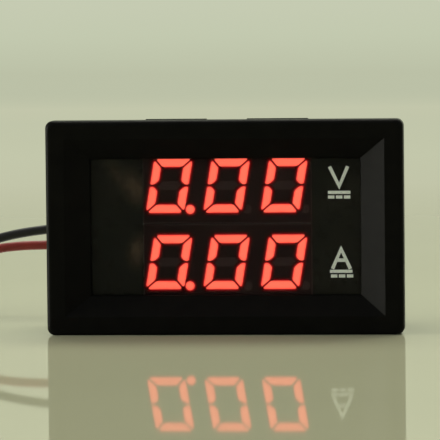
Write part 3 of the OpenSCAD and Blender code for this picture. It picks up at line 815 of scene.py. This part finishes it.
class MESH_OT_unit_marks(bpy.types.Operator):
    """Make the printed V and A, each over a bar and three dashes"""

    bl_idname = "meter.unit_marks"
    bl_label = "Unit marks"

    def execute(self, context):
        front, back = FILM_FRONT - 0.03, FILM_FRONT + 0.005
        pen = 0.47
        volt = [[(13.98, 22.36), (15.27, 19.74), (16.42, 22.38)]]
        amp = [[(14.28, 8.63), (15.45, 11.3), (16.68, 8.63)], [(14.8, 9.8), (16.2, 9.8)]]
        marks = [strip(line, pen, front, back) for line in volt + amp]
        for left, bar_z, dashes in ((13.75, 18.9, 13.75), (13.93, 8.3, 14.06)):
            marks.append(strip([(left, bar_z), (left + 3.02, bar_z)], 0.42, front, back))
            for dash in range(3):
                start = dashes + 1.07 * dash
                line = [(start, bar_z - 0.63), (start + 0.86, bar_z - 0.63)]
                marks.append(strip(line, 0.42, front, back))
        ink = mark_ink_and_glow(context.scene.meter_finish.marks)
        add_piece("unit_marks", joined(marks), ink, "meter")
        return {"FINISHED"}


def bar_outlines():
    """Outlines and spines of the six bars of a nought about the middle of a digit: each is
    one of two shapes mirrored left to right and top to bottom."""
    a, b = DIGIT_W / 2, DIGIT_H / 2
    end = [(-a + BAR_CUT, b), (a - BAR_CUT, b), (a - BAR_CUT / 2 - BAR_GAP, b - BAR_CUT / 2),
           (a - BAR_W - BAR_GAP, b - BAR_W), (-a + BAR_W + BAR_GAP, b - BAR_W),
           (-a + BAR_CUT / 2 + BAR_GAP, b - BAR_CUT / 2)]
    end_spine = [(-a + BAR_W, b - BAR_W / 2), (a - BAR_W, b - BAR_W / 2)]
    side = [(-a, b - BAR_CUT), (-a + BAR_CUT / 2, b - BAR_CUT / 2 - BAR_GAP),
            (-a + BAR_W, b - BAR_W - BAR_GAP), (-a + BAR_W, BAR_W / 2 + BAR_GAP),
            (-a + BAR_W / 2, BAR_GAP), (-a, BAR_GAP)]
    side_spine = [(-a + BAR_W / 2, b - BAR_W), (-a + BAR_W / 2, BAR_W * 0.7)]
    flips = np.array([[1, 1], [1, -1], [-1, 1], [-1, -1]])
    bars = [(np.array(end) * f, np.array(end_spine) * f) for f in flips[:2]]
    return bars + [(np.array(side) * f, np.array(side_spine) * f) for f in flips]


def rounded_corners(outline, radius, per_corner=4, per_edge=5):
    """An outline with each corner V rounded by (1 - t)^2 A + 2 t (1 - t) V + t^2 B, A and B
    being the points at the radius from V on its two edges, and the edges cut evenly."""
    v = np.asarray(outline, float)
    to_last, to_next = np.roll(v, 1, 0) - v, np.roll(v, -1, 0) - v
    length = [np.linalg.norm(d, axis=1, keepdims=True) for d in (to_last, to_next)]
    a = v + to_last / length[0] * np.minimum(radius, 0.45 * length[0])
    b = v + to_next / length[1] * np.minimum(radius, 0.45 * length[1])
    t = np.linspace(0, 1, per_corner)[None, :, None]
    bend = (1 - t) ** 2 * a[:, None] + 2 * t * (1 - t) * v[:, None] + t**2 * b[:, None]
    step = (np.arange(1, per_edge) / per_edge)[None, :, None]
    edge = b[:, None] + step * (np.roll(a, -1, 0) - b)[:, None]
    return np.concatenate([bend, edge], 1).reshape(-1, 2)


def outward(rim):
    """Level directions square to a closed outline at its points: the tangent turned by a
    quarter, away from the inside."""
    along = np.roll(rim, -1, 0) - np.roll(rim, 1, 0)
    out = np.stack([along[:, 1], -along[:, 0]], -1) / np.linalg.norm(along, axis=1)[:, None]
    area = np.sum(rim[:, 0] * np.roll(rim[:, 1], -1) - rim[:, 1] * np.roll(rim[:, 0], -1))
    return out * math.copysign(1, area)


def lit_solid(rim, spine, crown):
    """A bar whose outline shrinks towards its spine: P + t (S - P), S being the point of the
    spine nearest to P. Its front rises by crown * (1 - (1 - t)^2). Also gives t per point."""
    spine = np.asarray(spine, float)
    run = spine[1] - spine[0]
    reach = np.clip((rim - spine[0]) @ run / max(run @ run, 1e-12), 0, 1)
    core = spine[0] + reach[:, None] * run
    inner = np.array([0, 0, 0.08, 0.2, 0.4, 0.65, 0.88])
    outlines = rim + inner[:, None, None] * (core - rim)
    depth = DISPLAY_FRONT - 0.02 - crown / MM * (1 - (1 - inner) ** 2)
    depth[0] = DISPLAY_FRONT + BAR_DEPTH
    return outlines, depth, np.repeat(inner, len(rim))


def glow_solid(rim, layer):
    """A thin skirt round a bar, which carries its painted glow: each point of the outline moves out
    along its normal n as P + d n. Also gives the nearness 1 - d / reach per point."""
    reach = 0.45
    distance = np.array([reach, reach, 0.33, 0.22, 0.14, 0.07, 0.0, -0.04])
    outlines = rim + distance[:, None, None] * outward(rim)
    depth = np.full(len(distance), DISPLAY_FRONT - 0.003 - 0.0015 * layer)
    depth[0] = DISPLAY_FRONT + 0.01
    near = np.clip(1 - distance / reach, 0, 1)
    return outlines, depth, np.repeat(near, len(rim))


def readout(row, crown, skirts):
    """All lit bars of one readout, or the skirts of painted glow round them, each leaning with its
    height: x + z tan(slant)."""
    solids, inner = [], []
    angle = np.arange(24) * math.pi / 12
    dot = DOT_R * np.stack([np.cos(angle), np.sin(angle)], -1)
    for digit in range(3):
        x = DISPLAY_X + ROW_SHIFT[row] + DIGIT_SHIFT + (digit - 1) * DIGIT_PITCH
        shapes = []
        for outline, spine in bar_outlines():
            lean = np.array([1, 0]) * math.tan(SLANT)
            rim = rounded_corners(outline, 0.26)
            rim += rim[:, 1:] * lean
            rim -= BAR_INSET * outward(rim)
            shapes.append((rim, spine + spine[:, 1:] * lean, (0, 0)))
        if digit == 0:
            shapes.append((dot, np.zeros((2, 2)), DOT_AT))
        for layer, (rim, spine, away) in enumerate(shapes):
            outlines, depth, t = glow_solid(rim, layer) if skirts else lit_solid(rim, spine, crown)
            solids.append(loft(standing(outlines + np.array([x, DISPLAY_Z[row]]) + away, depth)))
            inner.append(t)
    return joined(solids), np.concatenate(inner)


class MESH_OT_readout(bpy.types.Operator):
    """Make the lit bars and points of both readouts"""

    bl_idname = "meter.readout"
    bl_label = "Lit readout"

    def execute(self, context):
        s = context.scene.meter_readout
        glow, painted_glow = lit_resin(s.core, s.rim, s.power), painted_glow_face()
        for row, name in enumerate(("volt", "amp")):
            for skirts in (False, True):
                solid, inner = readout(row, s.crown, skirts)
                if skirts:
                    # Painted glow: the skirts emit red round the bars.
                    piece = add_piece(f"{name}_bar_painted_glow", solid, painted_glow, "meter")
                else:
                    piece = add_piece(f"{name}_glowing_bars", solid, glow, "meter",
                                      (f"{name}_lit_bars",), sharp=40)
                level = piece.data.attributes.new("inner", "FLOAT", "POINT")
                level.data.foreach_set("value", inner.astype(np.float32))
        self.add_glint_lines()
        return {"FINISHED"}

    def add_glint_lines(self):
        """Painted highlight: a fine reddish strip round each display face stands for the glint on
        the edges of its case.
        """
        lines = []
        for z in DISPLAY_Z:
            w, h = (side / 2 - GLINT_W / 2 for side in DISPLAY_SIZE)
            corners = np.array([(-w, -h), (w, -h), (w, h), (-w, h)]) + (DISPLAY_X, z)
            lines += [[corners[i], corners[(i + 1) % 4]] for i in range(4)]
        front, back = DISPLAY_FRONT - 0.004, DISPLAY_FRONT + 0.01
        edges = [strip(line, GLINT_W, front, back) for line in lines]
        # Painted highlight: flat strips on the face, coloured as glints.
        add_piece("display_glint_lines", joined(edges), display_edge_glint(), "meter")


# ---- back of the board ----


class MESH_OT_solder(bpy.types.Operator):
    """Make the solder fillets round pins and wire"""

    bl_idname = "meter.solder"
    bl_label = "Solder fillets"

    def execute(self, context):
        fillet = np.array([[0.74, 0.0], [0.74, 0.02], [0.56, 0.08], [0.42, 0.2], [0.33, 0.36],
                           [0.27, 0.47], [0.16, 0.53], [0.05, 0.545]])
        collar = np.array([[1.45, 0.0], [1.43, 0.04], [1.2, 0.16], [1.02, 0.4], [0.92, 0.68],
                           [0.84, 0.85], [0.72, 0.9]])
        solids = []
        for z in DISPLAY_Z:
            for x in PIN_XS:
                for side in (-1, 1):
                    solids.append(turned((x, z + side * PIN_ROW), fillet + [0, BOARD_BACK], 20))
        for x in SHUNT_XS:
            solids.append(turned((x, SHUNT_Z), collar + [0, BOARD_BACK], 32))
        for x, zs, size in ((SUPPLY_AT[0], SUPPLY_ZS, 1.25), (MEASURE_AT[0], MEASURE_ZS, 1.75)):
            for z in zs:
                under = fillet * [size, -size] + [0, BOARD_FRONT]
                solids.append(turned((x, z), under, 24))
        add_piece("solder_fillets", joined(solids), solder_metal(), "meter",
                  ("solder_joints",), sharp=60)
        return {"FINISHED"}


class MESH_OT_tracks(bpy.types.Operator):
    """Make the copper tracks under the mask, the through holes and the white outlines"""

    bl_idname = "meter.tracks"
    bl_label = "Tracks and outlines"

    def execute(self, context):
        top = BOARD_BACK + 0.035
        thin = []
        chip_z, low_row = DISPLAY_Z[0], DISPLAY_Z[1] + PIN_ROW
        for x in PIN_XS:
            thin.append([(x, chip_z - PIN_ROW - 0.65), (x, low_row + 0.65)])
        for i in range(10):
            x = (i - 4.5) * 0.65
            goal = PIN_XS[min(i * 6 // 10, 5)]
            for side in (-1, 1):
                thin.append([(x, chip_z + side * 3.15), (x, chip_z + side * 3.4),
                             (goal, chip_z + side * 3.7)])
        for z in (8, 9.4, 10.8):
            thin.append([(-5.5, z), (-6.4, z), (-7.4, z + 1)])
            thin.append([(-3.7, z), (-2.9, z), (-1.9, z - 0.6)])
            thin.append([(5.5, z), (6.9, z), (8.9, z)])
            thin.append([(10.7, z), (11.4, z), (11.4, z + 1.2)])
        for z in (18.2, 19.6, 21):
            thin.append([(-6.1, z), (-7.2, z), (-8.4, z - 1.2), (-8.4, 15)])
        thin += [
            [(12.3, 19.7), (12.3, 17.4), (10.7, 16)], [(17.8, 19.7), (17.8, 18.6), (13, 16.2)],
            [(-12.9, 20.9), (-12.9, 18.6), (-16, 18.2)], [(-17.4, 20), (-17.4, 18.6)],
            [(-18.6, 14.2), (-18.6, 13.6)], [(10.7, 5.4), (12, 5.4), (12, 7.6)],
        ]
        wide = [
            [(-9.3, 4.4), (-9.3, 3.55), (14.2, 3.55), (16, 5.2), (16, 5.6)],
            [(-18.3, 7.3), (-18.3, 9.2)], [(-13.8, 18.3), (-12.5, 17.6)],
        ]
        copper = [strip(line, 0.28, BOARD_BACK - 0.01, top) for line in thin]
        copper += [strip(line, 1.1, BOARD_BACK - 0.01, top + 0.005) for line in wide]
        board = context.scene.meter_finish.board
        pale = [min(1, c * 1.9 + 0.008) for c in board]
        add_piece("masked_tracks", joined(copper), solder_mask("masked_track", pale, 0.26),
                  "meter")

        ring = np.array([[0.34, -0.01], [0.34, 0.04], [0.3, 0.055], [0.18, 0.055], [0.15, 0.01]])
        holes = [(-7.4, 9), (-7.4, 10.4), (-7.4, 11.8), (7.6, 12.2), (7.6, 17.1), (-8.4, 15),
                 (11.4, 12), (12.9, 16.2), (-15.9, 18.2), (7.4, 22.3), (-9.2, 17.4), (12, 7.9)]
        solids = [turned(at, ring + [0, BOARD_BACK], 18) for at in holes]
        add_piece("plated_holes", joined(solids), solder_metal(), "meter")

        frames = [((0, DISPLAY_Z[0]), (7.3, 5.0)), ((0, DISPLAY_Z[1]), (5.7, 4.5)),
                  (SUPPLY_AT, (6.4, 8.0)), (REGULATOR_AT, (5.1, 3.1)), (DIODE_AT, (4.9, 3.2))]
        frames += [(at, (4.6, 5.1)) for at in TRIMMERS_AT]
        frames += [(at, (2.2, 3.8)) for at in TANTALUM_AT]
        lines = []
        for (x, z), (w, h) in frames:
            lines += [
                [(x - w / 2, z - h / 2), (x + w / 2, z - h / 2), (x + w / 2, z + h / 2)],
                [(x + w / 2, z + h / 2), (x - w / 2, z + h / 2), (x - w / 2, z - h / 2)],
            ]
        lines += [[(x - 1.2, z + s * 0.65), (x + 1.2, z + s * 0.65)]
                  for x, z in CAPACITORS_AT for s in (-1, 1)]
        for x in (-15.6, 18.9):
            lines += [[(x - 0.5, 18.9), (x + 0.5, 18.9)], [(x, 18.4), (x, 19.4)]]
        ink = [strip(line, 0.14, BOARD_BACK - 0.005, BOARD_BACK + 0.02) for line in lines]
        add_piece("printed_outlines", joined(ink), silk_print(), "meter")
        return {"FINISHED"}


class MESH_OT_small_parts(bpy.types.Operator):
    """Make the chip resistors and capacitors, the tantalum capacitors and the diode"""

    bl_idname = "meter.small_parts"
    bl_label = "Small parts"

    def execute(self, context):
        tin = tinned_metal()
        kinds = (
            ("resistor", RESISTORS_AT, 0.45, resistor_glaze(), "resistor_glaze"),
            ("capacitor", CAPACITORS_AT, 0.8, capacitor_ceramic(), "capacitor_ceramic"),
        )
        for name, places, height, skin, slot in kinds:
            bodies, caps = [], []
            for x, z in places:
                bodies.append(
                    block((x, z), (1.1, 0.76), BOARD_BACK + 0.02, height - 0.04, 0.04, 0.06)
                )
                for side in (-1, 1):
                    spot = (x + side * 0.64, z)
                    caps.append(block(spot, (0.32, 0.8), BOARD_BACK, height, 0.06, 0.08))
                    foot = turned((x + side * 0.86, z), [[0.34, BOARD_BACK - 0.01],
                                  [0.34, BOARD_BACK + 0.02], [0.12, BOARD_BACK + height * 0.5]], 14)
                    caps.append(foot)
            add_piece(f"{name}_bodies", joined(bodies), skin, "meter",
                      (f"chip_{name}s",), sharp=40)
            add_piece(f"{name}_ends", joined(caps), tin, "meter", sharp=50)

        cans, bands, tabs = [], [], []
        for x, z in TANTALUM_AT:
            cans.append(block((x, z), (1.6, 3.2), BOARD_BACK, 1.59, 0.05, 0.06, 0.06, 0.5))
            bands.append(block((x, z + 1.05), (1.44, 0.5), BOARD_BACK + 1.5, 0.1, 0.02, 0.04))
            for side in (-1, 1):
                tabs.append(block((x, z + side * 1.72), (1.1, 0.36), BOARD_BACK, 0.4, 0.04, 0.05))
        add_piece("tantalum_cans", joined(cans), tantalum_resin(), "meter",
                  ("tantalum_capacitors",), sharp=40)
        add_piece("tantalum_bands", joined(bands), stripe_ink(), "meter")

        x, z = DIODE_AT
        case = block((x, z), (4.3, 2.6), BOARD_BACK, 2.09, 0.08, 0.1, 0.12, 0.6)
        add_piece("diode_case", case, chip_epoxy(), "meter", ("input_diode",))
        band = block((x - 1.45, z), (0.55, 2.26), BOARD_BACK + 2.0, 0.1, 0.02, 0.04)
        add_piece("diode_band", band, silk_print(), "meter")
        for side in (-1, 1):
            tabs.append(block((x + side * 2.42, z), (0.66, 1.5), BOARD_BACK, 0.35, 0.05, 0.08))
        for x, z in TRIMMERS_AT:
            for dx, side in ((-1.25, -1), (1.25, -1), (0, 1)):
                spot = (x + dx, z + side * 2.37)
                tabs.append(block(spot, (0.85, 0.36), BOARD_BACK, 0.25, 0.04, 0.06))
        add_piece("tinned_tabs", joined(tabs), tin, "meter", ("terminal_tabs",),
                  sharp=40)
        return {"FINISHED"}


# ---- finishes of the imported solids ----


class MESH_OT_solid_finishes(bpy.types.Operator):
    """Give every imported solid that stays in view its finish"""

    bl_idname = "meter.solid_finishes"
    bl_label = "Finishes of the solids"

    def execute(self, context):
        s = context.scene.meter_finish
        tin, resin = tinned_metal(), chip_epoxy()
        nylon, dark = white_nylon(), dark_resin()
        face, case = display_face(), trimmer_case()
        rotor = turned_brass("trimmer_brass", (0.62, 0.44, 0.2))
        finishes = {
            "housing": satin_abs(s.housing),
            "mask_film": printed_film(),
            "circuit_board": solder_mask("green_board", s.board),
            "current_shunt": shunt_alloy(),
            "plug_contacts": turned_brass("contact_brass", (0.7, 0.52, 0.25)),
            "coil_ties": tie_plastic(),
        }
        finishes.update(dict.fromkeys(("volt_display", "amp_display"), face))
        finishes.update(dict.fromkeys(("volt_dark_bars", "amp_dark_bars"), dark))
        finishes.update(dict.fromkeys(("controller_chip", "amplifier_chip", "regulator"), resin))
        finishes.update(dict.fromkeys(("volt_trimmer", "amp_trimmer"), case))
        finishes.update(dict.fromkeys(("volt_trimmer_rotor", "amp_trimmer_rotor"), rotor))
        finishes.update(
            dict.fromkeys(("supply_header", "supply_plug", "measuring_header"), nylon)
        )
        finishes.update(dict.fromkeys(
            ("volt_display_pins", "amp_display_pins", "controller_leads", "amplifier_leads",
             "regulator_leads", "supply_header_pins", "measuring_header_pins"), tin,
        ))
        for node, material in finishes.items():
            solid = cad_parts[node]
            solid.data.materials.clear()
            solid.data.materials.append(material)
        plain = [n for n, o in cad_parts.items() if n not in finishes and not o.hide_render]
        if plain:
            raise RuntimeError(f"solids without a finish: {plain}")
        return {"FINISHED"}


# ---- stage ----


def floor_finish(colour, mirror):
    """Pale worktop: a matt colour with a share of soft mirror. Far behind the meter it turns
    into a pale backdrop which only straight, mirrored and refracted rays see, so it adds no light;
    its colour is darker towards the meter and in a band where the worktop turns up into the wall."""
    f = Finish("worktop", colour, 0.5)
    back = f.add("SeparateXYZ", {0: f.place}).outputs["Y"]
    matt = f.add("BsdfDiffuse", {"Color": f.tints(f.noise(60, 2), colour, 0.015)})
    # The backdrop's colour is darker towards the meter and in a band where the worktop turns up
    # into the wall.
    pale = f.ramp(
        f.shade(back, 0, 1, 0, 1.6), (0.06, (0.46, 0.475, 0.315)), (0.21, (0.523, 0.525, 0.358)),
        (0.34, (0.553, 0.567, 0.395)), (0.6, (0.55, 0.57, 0.41)), (0.66, (0.50, 0.53, 0.385)),
        (0.69, (0.50, 0.53, 0.385)), (0.73, (0.545, 0.585, 0.43)), (0.76, (0.565, 0.60, 0.45)),
    )
    glow = f.add("Emission", {"Color": pale, "Strength": 1.0})
    rays = f.add("LightPath", {}).outputs
    seen = rays["Is Camera Ray"]
    for kind in ("Is Glossy Ray", "Is Transmission Ray"):
        seen = f.product(seen, rays[kind], "MAXIMUM")
    far = f.product(f.shade(back, 0, 1, 0.08, 0.4), seen)
    base = f.add("MixShader", {0: far, 1: matt.outputs[0], 2: glow.outputs[0]})
    gloss = f.add("BsdfGlossy", {"Color": (0.97, 0.97, 0.97), "Roughness": 0.03})
    share = f.product(mirror, f.shade(back, 1, 0, 0.8, 1.0))
    mix = f.add("MixShader", {0: share, 1: base.outputs[0], 2: gloss.outputs[0]})
    f.links.new(mix.outputs[0], f.output.inputs["Surface"])
    return f.material


def backdrop(width=8.0, front=-4.0, wall_at=1.6, bend=0.6, top=2.0):
    """Worktop and wall in one sheet: a line that runs level, turns up a quarter circle and
    rises, carried across from left to right."""
    angle = np.linspace(0, math.pi / 2, 24)
    level = np.linspace(front, wall_at - bend, 16)
    line = np.vstack([
        np.stack([level, np.zeros(16)], -1),
        np.stack([wall_at - bend + bend * np.sin(angle), bend * (1 - np.cos(angle))], -1)[1:],
        [[wall_at, top]],
    ])
    across = np.linspace(-width / 2, width / 2, 9)
    x, i = np.meshgrid(across, np.arange(len(line)))
    points = np.stack([x, line[i, 0], line[i, 1]], -1)
    rows, columns = x.shape
    corner = (np.arange(rows - 1)[:, None] * columns + np.arange(columns - 1)).ravel()
    quads = np.stack([corner, corner + 1, corner + columns + 1, corner + columns], -1)
    return points.reshape(-1, 3), quads.tolist()


class MESH_OT_stage(bpy.types.Operator):
    """Make the worktop, the light and the camera"""

    bl_idname = "meter.stage"
    bl_label = "Stage"

    def execute(self, context):
        scene, s = context.scene, context.scene.meter_stage
        points, faces = backdrop()
        mesh = bpy.data.meshes.new("worktop")
        mesh.from_pydata(points.tolist(), [], faces)
        mesh.polygons.foreach_set("use_smooth", np.ones(len(faces), bool))
        mesh.materials.append(floor_finish(s.floor, s.mirror))
        worktop = bpy.data.objects.new("worktop", mesh)
        scene.collection.objects.link(worktop)

        self.add_light(scene, s)
        self.add_camera(scene, s)
        scene.view_settings.view_transform = "Standard"
        return {"FINISHED"}

    def add_light(self, scene, s):
        """A broad low key from the left, a light from above and behind, and an even sky."""
        lamps = (("key", s.key, 26, (0.97, 0.08, -0.2)), ("top", s.top, 50, (-0.1, -0.62, -0.78)))
        for name, strength, spread, way in lamps:
            light = bpy.data.lights.new(name, "SUN")
            light.energy = strength
            light.angle = math.radians(spread)
            light.color = (1.0, 0.99, 0.88)
            lamp = bpy.data.objects.new(name, light)
            lamp.matrix_world = Vector(way).to_track_quat("-Z", "Y").to_matrix().to_4x4()
            scene.collection.objects.link(lamp)

        world = bpy.data.worlds.new("room")
        world.use_nodes = True
        scene.world = world
        nodes, links = world.node_tree.nodes, world.node_tree.links
        place = nodes.new("ShaderNodeTexCoord")
        axes = nodes.new("ShaderNodeSeparateXYZ")
        links.new(place.outputs["Generated"], axes.inputs[0])
        ramp = nodes.new("ShaderNodeValToRGB")
        ramp.color_ramp.elements[0].position = 0.0
        ramp.color_ramp.elements[0].color = (0.42, 0.42, 0.38, 1)
        ramp.color_ramp.elements[1].position = 0.7
        ramp.color_ramp.elements[1].color = (1.0, 1.0, 0.97, 1)
        links.new(axes.outputs["Z"], ramp.inputs[0])
        sky = nodes["Background"]
        sky.inputs["Strength"].default_value = s.sky
        links.new(ramp.outputs[0], sky.inputs["Color"])
        pale = nodes.new("ShaderNodeBackground")
        pale.inputs["Color"].default_value = (*s.floor, 1)
        ray = nodes.new("ShaderNodeLightPath")
        mix = nodes.new("ShaderNodeMixShader")
        links.new(ray.outputs["Is Camera Ray"], mix.inputs[0])
        links.new(sky.outputs[0], mix.inputs[1])
        links.new(pale.outputs[0], mix.inputs[2])
        links.new(mix.outputs[0], nodes["World Output"].inputs["Surface"])

    def add_camera(self, scene, s):
        """A long lens a little above and to the right of the face, turned slightly left."""
        yaw, pitch, roll = (math.radians(v) for v in (5.195, 3.303, -0.57))
        ahead = Vector((-math.sin(yaw) * math.cos(pitch), math.cos(yaw) * math.cos(pitch),
                        -math.sin(pitch)))
        level = Vector((math.cos(yaw), math.sin(yaw), 0))
        above = level.cross(ahead)
        right = level * math.cos(roll) + above * math.sin(roll)
        above = above * math.cos(roll) - level * math.sin(roll)
        turn = Matrix((right, above, -ahead)).transposed().to_4x4()
        data = bpy.data.cameras.new("camera")
        data.sensor_width = 36.0
        data.lens = s.lens
        data.clip_start, data.clip_end = 0.01, 50
        camera = bpy.data.objects.new("camera", data)
        camera.matrix_world = Matrix.Translation((0.0504, -0.5705, 0.0479)) @ turn
        scene.collection.objects.link(camera)
        scene.camera = camera


# ---- panel and run ----

STEPS = ("supply_leads", "window", "unit_marks", "readout", "solder", "tracks", "small_parts",
         "solid_finishes", "stage")


class VIEW3D_PT_meter(bpy.types.Panel):
    """Lists the steps that dress the meter, and the settings they read"""

    bl_idname = "VIEW3D_PT_meter"
    bl_label = "Panel meter"
    bl_space_type = "VIEW_3D"
    bl_region_type = "UI"
    bl_category = "Meter"

    def draw(self, context):
        for step in STEPS:
            self.layout.operator("meter." + step)
        for group in SETTINGS:
            box = self.layout.box()
            settings = getattr(context.scene, group)
            for name in SETTINGS[group].__annotations__:
                box.prop(settings, name)


SETTINGS = {
    "meter_leads": LeadSettings, "meter_readout": ReadoutSettings,
    "meter_finish": FinishSettings, "meter_stage": StageSettings,
}
CLASSES = (
    *SETTINGS.values(), MESH_OT_supply_leads, MESH_OT_window, MESH_OT_unit_marks,
    MESH_OT_readout, MESH_OT_solder, MESH_OT_tracks, MESH_OT_small_parts,
    MESH_OT_solid_finishes, MESH_OT_stage, VIEW3D_PT_meter,
)


def register():
    for cls in CLASSES:
        bpy.utils.register_class(cls)
    for name, cls in SETTINGS.items():
        setattr(bpy.types.Scene, name, PointerProperty(type=cls))


def unregister():
    for name in SETTINGS:
        delattr(bpy.types.Scene, name)
    for cls in reversed(CLASSES):
        bpy.utils.unregister_class(cls)


def main():
    register()
    for step in STEPS:
        getattr(bpy.ops.meter, step)()


if __name__ == "__main__":
    main()
